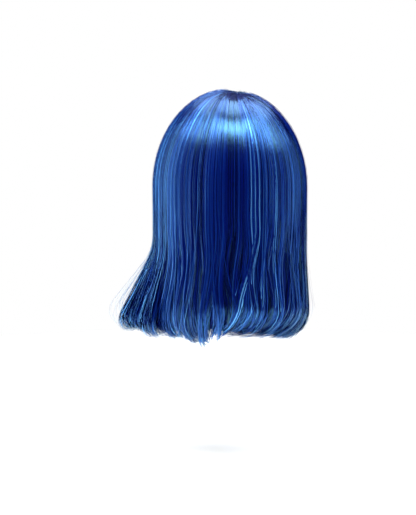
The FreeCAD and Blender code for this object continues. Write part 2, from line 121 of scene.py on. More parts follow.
def unit(v):
    """Vectors of length one, along the last axis."""
    return v / np.maximum(np.linalg.norm(v, axis=-1, keepdims=True), 1e-12)


def rim_point(angle):
    """The dome's widest line at plan angles, as x and y."""
    sx, sy = np.sin(angle), -np.cos(angle)
    r = 1 / np.sqrt((sx / DOME[0]) ** 2 + (sy / DOME[1]) ** 2)
    return r * sx, r * sy


def angle_gap(a, b):
    """Smallest signed difference of two angles."""
    return (a - b + np.pi) % (2 * np.pi) - np.pi


def new_mesh(name, verts, faces_flat, face_sizes, attributes=()):
    """A mesh object from flat arrays, smooth shaded, with float point attributes."""
    mesh = bpy.data.meshes.new(name)
    mesh.vertices.add(len(verts))
    mesh.vertices.foreach_set("co", np.asarray(verts, np.float32).ravel())
    mesh.loops.add(len(faces_flat))
    mesh.loops.foreach_set("vertex_index", np.asarray(faces_flat, np.int32))
    starts = np.concatenate([[0], np.cumsum(face_sizes)[:-1]]).astype(np.int32)
    mesh.polygons.add(len(face_sizes))
    mesh.polygons.foreach_set("loop_start", starts)
    mesh.update(calc_edges=True)
    mesh.polygons.foreach_set("use_smooth", np.ones(len(face_sizes), bool))
    for label, values in attributes:
        layer = mesh.attributes.new(label, "FLOAT", "POINT")
        layer.data.foreach_set("value", np.asarray(values, np.float32))
    piece = bpy.data.objects.new(name, mesh)
    bpy.context.scene.collection.objects.link(piece)
    return piece


def tubes(name, paths, half_width, half_thick, outward, tone, sides=4):
    """One mesh of closed tubes. paths is (tubes, points, 3); the half sizes are (tubes, points);
    outward is the direction of each ring's thickness; tone is one number a tube."""
    count, points, _ = paths.shape
    along = unit(np.gradient(paths, axis=1))
    across = unit(np.cross(along, outward))
    up = np.cross(across, along)
    turns = np.arange(sides) * 2 * np.pi / sides
    ring = (
        np.cos(turns)[None, None, :, None] * (up * half_thick[..., None])[:, :, None, :]
        + np.sin(turns)[None, None, :, None] * (across * half_width[..., None])[:, :, None, :]
    )
    verts = (paths[:, :, None, :] + ring).reshape(-1, 3)
    base = (np.arange(count) * points * sides)[:, None, None]
    ring_at = (np.arange(points - 1) * sides)[None, :, None]
    side = np.arange(sides)[None, None, :]
    after = (side + 1) % sides
    quads = np.stack(
        [
            base + ring_at + side,
            base + ring_at + after,
            base + ring_at + sides + after,
            base + ring_at + sides + side,
        ],
        axis=-1,
    ).reshape(-1, 4)
    starts = np.arange(count)[:, None] * points * sides
    first_cap = starts + np.arange(sides)[::-1][None, :]
    last_cap = starts + (points - 1) * sides + np.arange(sides)[None, :]
    flat = np.concatenate([quads.ravel(), first_cap.ravel(), last_cap.ravel()])
    sizes = np.concatenate([np.full(len(quads), 4), np.full(2 * count, sides)])
    share = np.linspace(0, 1, points)[None, :, None] * np.ones((count, 1, sides))
    tones = tone[:, None, None] * np.ones((1, points, sides))
    piece = new_mesh(
        name, verts, flat, sizes, [("tone", tones.ravel()), ("along", share.ravel())]
    )
    if sides == 4:
        crease_sides(piece.data)
    return piece


def crease_sides(mesh):
    """Keep the shading of a four-sided tube's upper face apart from its lower face's."""
    ends = np.empty(len(mesh.edges) * 2, np.int32)
    mesh.edges.foreach_get("vertices", ends)
    ends = ends.reshape(-1, 2)
    same_side = (ends[:, 0] % 4 == ends[:, 1] % 4) & (ends[:, 0] % 2 == 1)
    layer = mesh.attributes.new("sharp_edge", "BOOLEAN", "EDGE")
    layer.data.foreach_set("value", same_side)


def slab(name, outer, inner, tone, around=False):
    """A closed layer between two grids of points, (columns, points, 3); tone is per column."""
    columns, points, _ = outer.shape
    verts = np.concatenate([outer.reshape(-1, 3), inner.reshape(-1, 3)])
    last = columns if around else columns - 1
    c = np.arange(last)[:, None]
    p = np.arange(points - 1)[None, :]
    nxt = (c + 1) % columns
    low = np.stack(
        [c * points + p, nxt * points + p, nxt * points + p + 1, c * points + p + 1], -1
    ).reshape(-1, 4)
    back = low[:, ::-1] + columns * points
    c, nxt = c[:, 0], nxt[:, 0]
    half = columns * points
    top = np.stack([nxt * points, c * points, c * points + half, nxt * points + half], -1)
    end = points - 1
    foot = np.stack(
        [c * points + end, nxt * points + end, nxt * points + end + half, c * points + end + half],
        -1,
    )
    faces = [low, back, top, foot]
    if not around:
        p = np.arange(points - 1)
        faces.append(np.stack([p, p + 1, p + 1 + half, p + half], -1))
        q = p + (columns - 1) * points
        faces.append(np.stack([q + 1, q, q + half, q + 1 + half], -1))
    flat = np.concatenate(faces)
    share = np.tile(np.tile(np.linspace(0, 1, points), columns), 2)
    tones = np.tile(np.repeat(tone, points), 2)
    return new_mesh(
        name, verts, flat.ravel(), np.full(len(flat), 4), [("tone", tones), ("along", share)]
    )


# ---------------------------------------------------------------------------
# Materials
# ---------------------------------------------------------------------------
def node_material(name, roughness, metallic=0.0, **settings):
    """A Principled material; returns it with its node tree and shader."""
    material = bpy.data.materials.new(name)
    material.use_nodes = True
    tree = material.node_tree
    shader = tree.nodes["Principled BSDF"]
    shader.inputs["Roughness"].default_value = roughness
    shader.inputs["Metallic"].default_value = metallic
    for socket, value in settings.items():
        shader.inputs[socket.replace("_", " ")].default_value = value
    return material, tree, shader


def ramp(tree, source, stops):
    """A colour ramp over a factor."""
    node = tree.nodes.new("ShaderNodeValToRGB")
    tree.links.new(source, node.inputs["Fac"])
    while len(node.color_ramp.elements) < len(stops):
        node.color_ramp.elements.new(0.5)
    for element, (place, colour) in zip(node.color_ramp.elements, stops):
        element.position = place
        element.color = (*colour, 1)
    return node.outputs["Color"]


def attribute(tree, name):
    """A point attribute as a factor."""
    node = tree.nodes.new("ShaderNodeAttribute")
    node.attribute_name = name
    return node.outputs["Fac"]


def math_node(tree, operation, a, b):
    """One arithmetic step on two factors."""
    node = tree.nodes.new("ShaderNodeMath")
    node.operation = operation
    for socket, value in zip(node.inputs, (a, b)):
        if isinstance(value, (int, float)):
            socket.default_value = value
        else:
            tree.links.new(value, socket)
    return node.outputs[0]


def object_coords(tree, stretch=(1, 1, 1)):
    """The object's own coordinates, stretched per axis."""
    coords = tree.nodes.new("ShaderNodeTexCoord")
    mapping = tree.nodes.new("ShaderNodeMapping")
    mapping.inputs["Scale"].default_value = stretch
    tree.links.new(coords.outputs["Object"], mapping.inputs["Vector"])
    return mapping.outputs["Vector"]


def noise(tree, scale, stretch=(1, 1, 1), detail=3.0):
    """Noise over the object's own coordinates."""
    node = tree.nodes.new("ShaderNodeTexNoise")
    node.inputs["Scale"].default_value = scale
    node.inputs["Detail"].default_value = detail
    tree.links.new(object_coords(tree, stretch), node.inputs["Vector"])
    return node.outputs["Fac"]


def waves(tree, scale, direction, distortion=0.0):
    """Straight bands along one axis of the object's coordinates."""
    node = tree.nodes.new("ShaderNodeTexWave")
    node.bands_direction = direction
    node.inputs["Scale"].default_value = scale
    node.inputs["Distortion"].default_value = distortion
    tree.links.new(object_coords(tree), node.inputs["Vector"])
    return node.outputs["Fac"]


def bump(tree, shader, height, strength, distance):
    """Fine relief from a factor."""
    node = tree.nodes.new("ShaderNodeBump")
    node.inputs["Strength"].default_value = strength
    node.inputs["Distance"].default_value = distance
    tree.links.new(height, node.inputs["Height"])
    tree.links.new(node.outputs["Normal"], shader.inputs["Normal"])


def fibre_material():
    """Glossy synthetic fibre: each fibre's own tone, slow streaks, paler roots, painted shade over
    the crown and a painted highlight on the ends.
    """
    material, tree, shader = node_material(
        "blue_fibre", 0.2, 0.5, Specular_IOR_Level=1.0, IOR=1.55,
        Specular_Tint=(0.26, 0.86, 0.92, 1.0),
    )
    streak = noise(tree, 60, (1, 1, 0.12))
    tone = math_node(tree, "ADD", attribute(tree, "tone"), math_node(tree, "MULTIPLY", streak, 0.3))
    along = attribute(tree, "along")
    # Past the bend towards the ends the tone rises: a painted highlight where the curled ends catch
    # light from below.
    tip_highlight = math_node(tree, "MAXIMUM", math_node(tree, "SUBTRACT", along, TIP_HIGHLIGHT_START), 0.0)
    tone = math_node(tree, "ADD", tone, math_node(tree, "MULTIPLY", tip_highlight, 2.0))
    # Over the crown the tone is lowered: a painted shade that dims the highlight band the lamps
    # throw there.
    crown = math_node(tree, "MAXIMUM", math_node(tree, "SUBTRACT", CROWN_SHADE_END, along), 0.0)
    tone = math_node(tree, "SUBTRACT", tone, math_node(tree, "MULTIPLY", crown, 0.6))
    colour = ramp(
        tree, tone,
        [
            (0.25, (0.0002, 0.001, 0.045)),
            (0.55, (0.0005, 0.005, 0.16)),
            (0.8, (0.004, 0.035, 0.27)),
            (1.0, (0.08, 0.27, 0.66)),
        ],
    )
    # The roots are paler and a little lilac, from the coated patch they are tied to.
    root = ramp(tree, along, [(0.0, (0.24, 0.24, 0.24)), (ROOT_END, (0.0, 0.0, 0.0))])
    mix = tree.nodes.new("ShaderNodeMix")
    mix.data_type = "RGBA"
    tree.links.new(root, mix.inputs["Factor"])
    tree.links.new(colour, mix.inputs["A"])
    mix.inputs["B"].default_value = (0.14, 0.17, 0.42, 1.0)
    tree.links.new(mix.outputs["Result"], shader.inputs["Base Color"])
    return material


def base_material():
    """The packed fibres under the surface: dark, with the same streaks."""
    material, tree, shader = node_material(
        "deep_fibre", 0.4, 0.5, Specular_IOR_Level=0.3, Specular_Tint=(0.35, 0.7, 1.0, 1.0),
    )
    tone = math_node(tree, "ADD", attribute(tree, "tone"), math_node(
        tree, "MULTIPLY", noise(tree, 90, (1, 1, 0.05)), 0.4,
    ))
    colour = ramp(
        tree, tone,
        [(0.1, (0.0004, 0.001, 0.03)), (0.5, (0.001, 0.006, 0.10)), (1.0, (0.004, 0.035, 0.26))],
    )
    tree.links.new(colour, shader.inputs["Base Color"])
    return material


def cloth_material(name, dark, light, pattern, roughness=0.85, depth=0.25, **settings):
    """Cloth: two tones over a pattern that also gives the relief."""
    material, tree, shader = node_material(name, roughness, **settings)
    height = pattern(tree)
    tree.links.new(ramp(tree, height, [(0.25, dark), (0.75, light)]), shader.inputs["Base Color"])
    bump(tree, shader, height, 0.7, depth * MM)
    return material


def woven(scale):
    """Crossing bands, for a ribbon's weave."""
    def pattern(tree):
        upright = waves(tree, scale, "Z", 0.4)
        across = waves(tree, scale, "DIAGONAL", 0.4)
        return math_node(tree, "MULTIPLY", upright, across)
    return pattern


def pile(tree):
    """Short velvet pile."""
    return noise(tree, 1400, (1, 1, 1), 4.0)


def wire_material():
    """Nickel-plated wire with fine drawing marks."""
    material, tree, shader = node_material("nickel_wire", 0.28, 1.0)
    colour = ramp(
        tree, noise(tree, 900, (1, 1, 0.2)), [(0.3, (0.50, 0.49, 0.47)), (0.7, (0.66, 0.65, 0.63))],
    )
    tree.links.new(colour, shader.inputs["Base Color"])
    return material


FIBRE = fibre_material()
DEEP_FIBRE = base_material()
VELVET = cloth_material(
    "navy_velvet", (0.006, 0.010, 0.05), (0.02, 0.035, 0.13), pile, 0.95, 0.5,
    Sheen_Weight=0.6, Sheen_Roughness=0.4,
)
TAPE = cloth_material("navy_tape", (0.012, 0.02, 0.09), (0.035, 0.055, 0.2), woven(220))
ELASTIC = cloth_material("black_elastic", (0.006, 0.008, 0.02), (0.03, 0.035, 0.06), woven(300))
NET = cloth_material("navy_thread", (0.01, 0.016, 0.08), (0.03, 0.045, 0.18), woven(500))
SKIN = cloth_material(
    "coated_patch", (0.50, 0.42, 0.55), (0.68, 0.60, 0.70),
    lambda tree: noise(tree, 500, (1, 1, 1), 3.0), 0.6, 0.15,
)
WEFT = cloth_material(
    "stitched_fibre", (0.003, 0.008, 0.06), (0.02, 0.06, 0.30),
    lambda tree: noise(tree, 700, (1, 1, 0.1), 3.0), 0.5, 0.5,
)
STAY = cloth_material(
    "stay_strip", (0.02, 0.02, 0.03), (0.05, 0.05, 0.07), lambda tree: noise(tree, 300), 0.5, 0.05,
)
THREAD = cloth_material(
    "sewing_thread", (0.05, 0.09, 0.3), (0.12, 0.2, 0.5), lambda tree: noise(tree, 900), 0.7, 0.1,
)
WIRE = wire_material()


# ---------------------------------------------------------------------------
# How a fibre runs
# ---------------------------------------------------------------------------
def dome_run(angle, start, depth, points=DOME_POINTS, stop=1.0):
    """From the whorl to the widest line. start is how far out along the way a fibre begins."""
    first = np.arcsin(np.clip(start, 0, 0.999))[:, None]
    u = np.linspace(0, 1, points)[None, :] * np.broadcast_to(stop, angle.shape)[:, None]
    out = np.sin(first + (np.pi / 2 - first) * u)
    turned = angle[:, None] + SWIRL * (1 - out) ** 2
    ex, ey = rim_point(turned)
    x = WHORL[0] + (ex - WHORL[0]) * out
    y = WHORL[1] + (ey - WHORL[1]) * out
    rho = np.clip((x / DOME[0]) ** 2 + (y / DOME[1]) ** 2, 0, 1)
    z = DOME[2] * np.sqrt(1 - rho)
    normal = unit(np.stack([x / DOME[0] ** 2, y / DOME[1] ** 2, z / DOME[2] ** 2], -1))
    from_whorl = np.hypot(x - WHORL[0], y - WHORL[1])
    dip = depth + DIMPLE * np.exp(-((from_whorl / DIMPLE_REACH) ** 2))
    places = np.stack([x, y, z + WIDEST_Z], -1) - normal * dip[..., None]
    return places, normal


def habits(angle):
    """The mean way hair hangs at a plan angle: flip, where the curl starts, its length, turn."""
    flared = np.exp(-((angle_gap(angle, FLARE_ANGLE) / FLARE_SPREAD) ** 2))
    back = smooth(np.abs(angle_gap(angle, 0)), 120 * DEG, 160 * DEG)
    right_rear = np.exp(-((angle_gap(angle, RIGHT_REAR) / FLARE_SPREAD) ** 2))
    return {
        "flip": FLIP * flared,
        "curl_from": (141 + 14 * flared - 9 * back + 5 * right_rear) * MM,
        "curl_length": (60 - 18 * flared - 3 * back) * MM,
        "curl": (112 + 48 * flared + 10 * back) * DEG,
        "drift": -6 * MM * back,
        "sweep": (-12 - 22 * back) * MM,
    }


def hanging_run(angle, way, length, depth, points=HANG_POINTS):
    """From the widest line down. The heading is measured from straight down, outward positive."""
    s = np.linspace(0, 1, points)[None, :] * length[:, None]
    turn = np.clip((s - way["curl_from"][:, None]) / way["curl_length"][:, None], 0, 1.2)
    heading = (
        BOW * smooth(s, *BOW_SPAN)
        + way["flip"][:, None] * smooth(s, *FLIP_SPAN)
        - way["curl"][:, None] * turn ** 1.1
    )
    step = (length / (points - 1))[:, None]
    mid = (heading[:, 1:] + heading[:, :-1]) / 2
    zero = np.zeros((len(angle), 1))
    outward = np.concatenate([zero, np.cumsum(np.sin(mid) * step, 1)], 1)
    drop = np.concatenate([zero, np.cumsum(np.cos(mid) * step, 1)], 1)
    outward = outward - depth * np.cos(heading)
    drop = drop + depth * np.sin(heading)
    ex, ey = rim_point(angle)
    side = unit(np.stack([ex / DOME[0] ** 2, ey / DOME[1] ** 2], -1))
    sideways = (
        way["drift"][:, None] * (s / HAIR_HANG) ** 2 + way.get("wave", zero)
        + way["sweep"][:, None] * np.clip(turn, 0, 1.2) ** 1.5
    )
    x = ex[:, None] + side[:, :1] * outward - side[:, 1:] * sideways
    y = ey[:, None] + side[:, 1:] * outward + side[:, :1] * sideways
    places = np.stack([x, y, WIDEST_Z - drop], -1)
    normal = np.stack(
        [side[:, :1] * np.cos(heading), side[:, 1:] * np.cos(heading), np.sin(heading)], -1
    )
    return places, normal


def thickness_at(s):
    """How thick the hanging hair is, by distance from the widest line."""
    at = np.array([0, 21, 41, 61, 86, 136, 165, 200]) * MM
    thickness = np.array([6, 7, 10.4, 13.4, 14.2, 14.5, 11, 8]) * MM
    return np.interp(s, at, thickness)


def make_locks(count, start, end):
    """Locks spaced along the widest line between two plan angles, each with its own habits."""
    pitch = (end - start) / count
    edges = np.linspace(start, end, count + 1)
    centre = (edges[1:] + edges[:-1]) / 2 + RNG.normal(0, 0.18, count) * pitch
    return {
        "centre": centre,
        "half": pitch / 2 * RNG.uniform(0.8, 1.25, count),
        "length": RNG.normal(0, 4 * MM, count),
        "curl_from": RNG.normal(0, 3 * MM, count),
        "curl": RNG.normal(0, 11 * DEG, count),
        "flip": RNG.normal(0, 2.5 * DEG, count),
        "drift": RNG.normal(0, 5 * MM, count),
        "wave": (2.6 + np.abs(RNG.normal(0, 1.8, count))) * MM,
        "phase": 2.6 * centre + RNG.normal(0, 0.9, count),
        "tone": RNG.normal(0, 0.09, count),
        "rise": np.abs(RNG.normal(0, 0.8 * MM, count)),
        # Which locks get a painted highlight along one edge
        "light": RNG.uniform(0, 1, count) > 0.35,
    }


def lock_way(locks, lock, angle):
    """The habits at an angle, with those of the fibre's own lock added."""
    way = habits(angle)
    flared = way["flip"] / FLIP
    way["flip"] = way["flip"] + locks["flip"][lock] * smooth(flared, 0, 0.4)
    way["curl_from"] = way["curl_from"] + locks["curl_from"][lock]
    way["curl"] = way["curl"] + locks["curl"][lock]
    way["drift"] = way["drift"] + locks["drift"][lock]
    share = np.linspace(0, 1, HANG_POINTS)[None, :]
    way["wave"] = (
        locks["wave"][lock][:, None] * smooth(share, 0.1, 0.5)
        * np.sin(share * 8 + locks["phase"][lock][:, None])
    )
    return way


def long_fibres(locks, per_lock, depth_top, depth_low, relief, clump, start_span, width):
    """Fibres that run from the whorl to the ends, gathered into locks. The depths are the
    layer's thickness at the top and low down; relief is how deep the valleys between locks are."""
    count = len(locks["centre"])
    lock = np.repeat(np.arange(count), per_lock)
    n = len(lock)
    place = RNG.uniform(-1, 1, n)
    centre = locks["centre"][lock]
    angle = centre + place * locks["half"][lock] * 1.2
    start = start_span[0] + (start_span[1] - start_span[0]) * np.sqrt(RNG.uniform(0, 1, n))
    way = lock_way(locks, lock, angle)
    way["curl"] = way["curl"] + RNG.normal(0, 6 * DEG, n)
    way["curl_from"] = way["curl_from"] + RNG.normal(0, 2 * MM, n)
    way["drift"] = way["drift"] + RNG.normal(0, 1.5 * MM, n)
    tail = np.abs(RNG.normal(0, 6 * MM, n))
    length = way["curl_from"] + way["curl_length"] + 4 * MM + locks["length"][lock] - tail
    depth = RNG.uniform(0, 1, n) ** 1.3
    valley = relief * place ** 2 - locks["rise"][lock]
    grow = np.linspace(0, 1, DOME_POINTS)[None, :]
    ruffle = 0.5 * MM
    top = depth[:, None] * depth_top + valley[:, None] * 0.25 * smooth(grow, 0.3, 1) + ruffle
    dome_places, dome_normals = dome_run(angle, start, top)
    share = np.linspace(0, 1, HANG_POINTS)[None, :]
    low = (
        depth[:, None] * (depth_top + (depth_low - depth_top) * share)
        + valley[:, None] * (0.25 + 0.75 * smooth(share, 0.05, 0.7)) + ruffle
    )
    hang_places, hang_normals = hanging_run(angle, way, length, low)
    # Fibres of one lock draw together towards its ends.
    rx, ry = rim_point(centre)
    gx, gy = rim_point(angle)
    pull = clump * smooth(share, 0.1, 1.0)
    hang_places[..., 0] += (rx - gx)[:, None] * pull
    hang_places[..., 1] += (ry - gy)[:, None] * pull
    paths = np.concatenate([dome_places[:, :-1], hang_places], 1)
    normals = np.concatenate([dome_normals[:, :-1], hang_normals], 1)
    # The ribbon of fibre leans with the side of its lock.
    side = unit(np.cross(unit(np.gradient(paths, axis=1)), normals))
    whole = np.linspace(0, 1, paths.shape[1])
    lean = place[:, None, None] * 0.7 * smooth(whole, 0.34, 0.7)[:, None]
    normals = unit(normals - side * lean)
    taper_root = smooth(whole, 0, 0.16)[None, :]
    taper_tip = 1 - 0.7 * smooth(whole, 0.82, 1.0)[None, :]
    size = width * RNG.uniform(0.7, 1.3, n)[:, None]
    half_width = size * (0.35 + 0.65 * taper_root) * taper_tip
    # Fibres deeper in the layer are painted darker, a painted shade under the outer fibres. In the
    # marked locks the fibres at one edge are painted lighter, a painted highlight along the lock's
    # ridge, and fibres at the other edge are painted darker, a painted shade.
    tone = 0.42 + locks["tone"][lock] + RNG.normal(0, 0.13, n) - 0.2 * depth
    tone = tone + 0.3 * ((place > 0.76) & locks["light"][lock]) - 0.1 * (place < -0.4)
    return paths, normals, half_width, tone, angle


def body_of(angle):
    """The hanging section that a plan angle belongs to."""
    turn = angle_gap(angle, 0)
    return np.where(
        np.abs(turn) < FRINGE_HALF, "fringe",
        np.where(
            np.abs(turn) > BACK_START, "back", np.where(turn > 0, "left_side", "right_side")
        ),
    )


def finish_hair(piece, material):
    """Material and slot of a hair piece, with its transform baked into the mesh."""
    piece.data.materials.append(material)
    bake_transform(piece)


def add_fibres(label, fibres, bodies=("left_side", "right_side", "back")):
    """Split fibres by section and build their pieces."""
    paths, normals, half_width, tone, angle = fibres
    owner = body_of(angle)
    for body in bodies:
        mine = np.flatnonzero(owner == body)
        parts = max(1, -(-len(mine) // TUBES_IN_PIECE))
        for number, chosen in enumerate(np.array_split(mine, parts), start=1):
            if len(chosen):
                piece = tubes(
                    f"{body}_{label}_{number}", paths[chosen], half_width[chosen],
                    half_width[chosen] * DOMED, normals[chosen], tone[chosen],
                )
                finish_hair(piece, FIBRE)


def build_long_hair():
    """Layers of long fibres: an outer one and one between."""
    start, end = FRINGE_HALF, 2 * math.pi - FRINGE_HALF
    outer = make_locks(70, start, end)
    add_fibres("outer_fibres", long_fibres(
        outer, per_lock=44, depth_top=2.0 * MM, depth_low=4.5 * MM, relief=4.2 * MM,
        clump=0.25, start_span=(0.02, 0.4), width=0.42 * MM,
    ))
    middle = make_locks(57, start, end)
    add_fibres("middle_fibres", long_fibres(
        middle, per_lock=26, depth_top=3.0 * MM, depth_low=7 * MM, relief=3.0 * MM,
        clump=0.25, start_span=(0.1, 0.7), width=0.52 * MM,
    ))
    return outer


def build_underside():
    """The fibres on the inner face of the hanging hair."""
    count, per_lock = 62, 15
    locks = make_locks(count, FRINGE_HALF, 2 * math.pi - FRINGE_HALF)
    lock = np.repeat(np.arange(count), per_lock)
    n = len(lock)
    place = RNG.uniform(-1, 1, n)
    angle = locks["centre"][lock] + place * locks["half"][lock] * 1.2
    angle = np.clip(angle, FRINGE_HALF + 0.5 * DEG, 2 * math.pi - FRINGE_HALF - 0.5 * DEG)
    way = lock_way(locks, lock, angle)
    way["curl"] = way["curl"] * 0.8 + RNG.normal(0, 8 * DEG, n)
    length = (way["curl_from"] + way["curl_length"]) * RNG.uniform(0.86, 0.99, n)
    share = np.linspace(0, 1, HANG_POINTS)[None, :]
    depth = thickness_at(share * length[:, None]) - 0.6 * MM - place[:, None] ** 2 * 1.2 * MM
    depth = depth - RNG.uniform(0, 1.5 * MM, n)[:, None]
    paths, normals = hanging_run(angle, way, length, depth)
    width = 0.65 * MM * RNG.uniform(0.7, 1.3, n)[:, None]
    half_width = width * (1 - 0.7 * smooth(share, 0.82, 1.0))
    tone = 0.4 + locks["tone"][lock] + RNG.normal(0, 0.11, n)
    # The first ring stands where a whole fibre's dome run would end.
    lead = np.repeat(paths[:, :1], DOME_POINTS - 1, 1)
    lead[..., 2] += np.linspace(6 * MM, 0.5 * MM, DOME_POINTS - 1)
    paths = np.concatenate([lead, paths], 1)
    normals = np.concatenate([np.repeat(normals[:, :1], DOME_POINTS - 1, 1), normals], 1)
    half_width = np.concatenate([np.repeat(half_width[:, :1], DOME_POINTS - 1, 1), half_width], 1)
    add_fibres("underside_fibres", (paths, normals, half_width, tone, angle))


def build_bases(locks):
    """The packed fibre under the surface: a closed, ribbed layer over the cap and one a section."""
    def ribs(angle):
        """Relief that follows the locks, and finer relief from fibre to fibre."""
        order = np.argsort(locks["centre"])
        centres = locks["centre"][order]
        nearest = np.abs(angle[:, None] - centres[None, :]).argmin(1)
        place = (angle - centres[nearest]) / locks["half"][order][nearest]
        fine = np.convolve(RNG.normal(0, 1, len(angle) + 4), np.ones(5) / 5, "valid")
        return np.clip(place ** 2, 0, 1.2), fine

    sections = {
        "left_side": (FRINGE_HALF, BACK_START),
        "back": (BACK_START, 2 * math.pi - BACK_START),
        "right_side": (2 * math.pi - BACK_START, 2 * math.pi - FRINGE_HALF),
    }
    for body, (start, end) in sections.items():
        columns = int((end - start) / (0.5 * DEG))
        gap = 0.4 * DEG
        angle = np.linspace(start + gap, end - gap, columns)
        valley, fine = ribs(angle)
        way = habits(angle)
        ragged = np.convolve(RNG.normal(0, 1, columns + 8), np.ones(9) / 3, "valid") * 3 * MM
        length = (way["curl_from"] + way["curl_length"]) * 0.9 + ragged
        share = np.linspace(0, 1, HANG_POINTS)[None, :]
        s = share * length[:, None]
        outer_depth = (
            3.2 * MM + valley[:, None] * 2.6 * MM * smooth(share, 0.05, 0.6)
            + fine[:, None] * 0.5 * MM + 2.0 * MM * smooth(share, 0.3, 1)
        )
        inner_depth = thickness_at(s) - fine[:, None] * 0.6 * MM
        inner_depth = np.maximum(inner_depth, outer_depth + 1.2 * MM)
        outer, _ = hanging_run(angle, way, length, outer_depth)
        inner, _ = hanging_run(angle, way, length, inner_depth)
        piece = slab(f"{body}_underlayer", outer, inner, 0.3 + 0.12 * fine)
        finish_hair(piece, DEEP_FIBRE)
        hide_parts(f"{body}_hair")

    columns, rings, first = 720, 24, 0.004
    angle = np.linspace(0, 2 * math.pi, columns, endpoint=False)
    valley, fine = ribs(np.where(angle < FRINGE_HALF, angle + 2 * math.pi, angle))
    valley[np.abs(angle_gap(angle, 0)) < FRINGE_HALF] = 0
    in_fringe = np.abs(angle_gap(angle, 0)) < FRINGE_HALF
    stop = np.where(in_fringe, 0.70, 1.0)
    begin = np.full(columns, first)
    outer, _ = dome_run(angle, begin, (3.0 + fine * 0.4)[:, None] * MM, rings, stop)
    inner, _ = dome_run(angle, begin, np.full((columns, 1), 5.9 * MM), rings, stop)
    piece = slab("crown_underlayer", outer, inner, 0.3 + 0.12 * fine, around=True)
    piece.data.materials.append(DEEP_FIBRE)
    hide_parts("crown_hair")
    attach(piece, "cap")


def build_fringe():
    """The fringe: fibres from the crown down over the forehead, cut straight at the brows."""
    count, per_lock = 15, 34
    locks = make_locks(count, -FRINGE_HALF, FRINGE_HALF)
    lock = np.repeat(np.arange(count), per_lock)
    n = len(lock)
    place = RNG.uniform(-1, 1, n)
    angle = np.clip(locks["centre"][lock] + place * locks["half"][lock], -FRINGE_HALF, FRINGE_HALF)
    start = 0.03 + 0.4 * np.sqrt(RNG.uniform(0, 1, n))
    depth = RNG.uniform(0, 1, n)
    points = 24
    grow = np.linspace(0, 1, points)[None, :]
    under = 1.2 * MM * smooth(grow, 0.75, 1.0)
    dip = (
        0.8 * MM + depth[:, None] * 2.4 * MM + (place ** 2)[:, None] * 0.8 * MM * grow
        + under + np.abs(RNG.normal(0, 0.3 * MM, n))[:, None]
    )
    stop = 0.955 + RNG.normal(0, 0.006, n) + locks["length"][lock] * 1.5
    paths, normals = dome_run(angle, start, dip, points, stop)
    rx, ry = rim_point(locks["centre"][lock])
    gx, gy = rim_point(angle)
    pull = 0.3 * smooth(grow, 0.5, 1.0)
    paths[..., 0] += (rx - gx)[:, None] * pull
    paths[..., 1] += (ry - gy)[:, None] * pull * 0.3
    half_width = 0.5 * MM * RNG.uniform(0.7, 1.3, n)[:, None] * (
        (0.35 + 0.65 * smooth(grow, 0, 0.2)) * (1 - 0.6 * smooth(grow, 0.88, 1.0))
    )
    # Deeper fibres are painted darker, a painted shade under the outer fibres.
    tone = 0.46 + locks["tone"][lock] + RNG.normal(0, 0.11, n) - 0.2 * depth
    piece = tubes("fringe_fibres", paths, half_width, half_width * 0.4, normals, tone)
    finish_hair(piece, FIBRE)

    columns, rings, gap = 150, 20, 0.3 * DEG
    angle = np.linspace(-FRINGE_HALF + gap, FRINGE_HALF - gap, columns)
    fine = np.convolve(RNG.normal(0, 1, columns + 4), np.ones(5) / 5, "valid")
    begin = np.full(columns, 0.86)
    stop = np.full(columns, 0.86) + 0.02 * fine
    outer, _ = dome_run(angle, begin, (3.4 + 0.5 * fine)[:, None] * MM, rings, stop)
    inner, _ = dome_run(angle, begin, np.full((columns, 1), 5.8 * MM), rings, stop)
    piece = slab("fringe_underlayer", outer, inner, 0.3 + 0.12 * fine)
    finish_hair(piece, DEEP_FIBRE)
    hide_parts("fringe_hair")


def build_strays():
    """Loose fibres: loops that stand off the flipped side, and strays that cross the back."""
    n = LOOSE_LOOPS
    angle = FLARE_ANGLE + RNG.normal(0, 12 * DEG, n)
    way = habits(angle)
    way["flip"] = way["flip"] + RNG.uniform(3, 15, n) * DEG
    way["curl_from"] = way["curl_from"] - RNG.uniform(0, 18, n) * MM
    way["curl_length"] = way["curl_length"] + RNG.uniform(0, 16, n) * MM
    length = way["curl_from"] + way["curl_length"] + RNG.uniform(-6, 10, n) * MM
    loops = finish_stray(
        angle, way, length, depth=np.full(n, 0.3 * MM), width=0.3 * MM, tone=0.8,
    )
    n = LOOSE_CROSSING
    angle = RNG.uniform(FRINGE_HALF, 2 * math.pi - FRINGE_HALF, n)
    way = habits(angle)
    way["drift"] = RNG.normal(0, 26 * MM, n)
    way["flip"] = way["flip"] + np.abs(RNG.normal(0, 1.5 * DEG, n))
    length = (way["curl_from"] + way["curl_length"]) * RNG.uniform(0.55, 1.0, n)
    crossing = finish_stray(
        angle, way, length, depth=np.full(n, -0.6 * MM), width=0.2 * MM, tone=0.62,
    )
    both = [np.concatenate(pair) for pair in zip(loops, crossing)]
    add_fibres("loose_fibres", both)


def finish_stray(angle, way, length, depth, width, tone):
    """A loose fibre's whole path, from the crown to its end."""
    n = len(angle)
    dome_places, dome_normals = dome_run(angle, RNG.uniform(0.1, 0.5, n), depth[:, None])
    hang_places, hang_normals = hanging_run(angle, way, length, depth[:, None])
    paths = np.concatenate([dome_places[:, :-1], hang_places], 1)
    normals = np.concatenate([dome_normals[:, :-1], hang_normals], 1)
    half_width = np.full(paths.shape[:2], width)
    return paths, normals, half_width, tone + RNG.normal(0, 0.08, n), angle


# ---------------------------------------------------------------------------
# The cap
# ---------------------------------------------------------------------------
def on_form(direction, offset):
    """Where rays from the head form's centre meet the form that stands an offset outside it."""
    semi = HEAD + offset
    reach = 1 / np.sqrt(((direction / semi) ** 2).sum(-1, keepdims=True))
    return direction * reach + np.array([0, 0, -HEAD[2]])


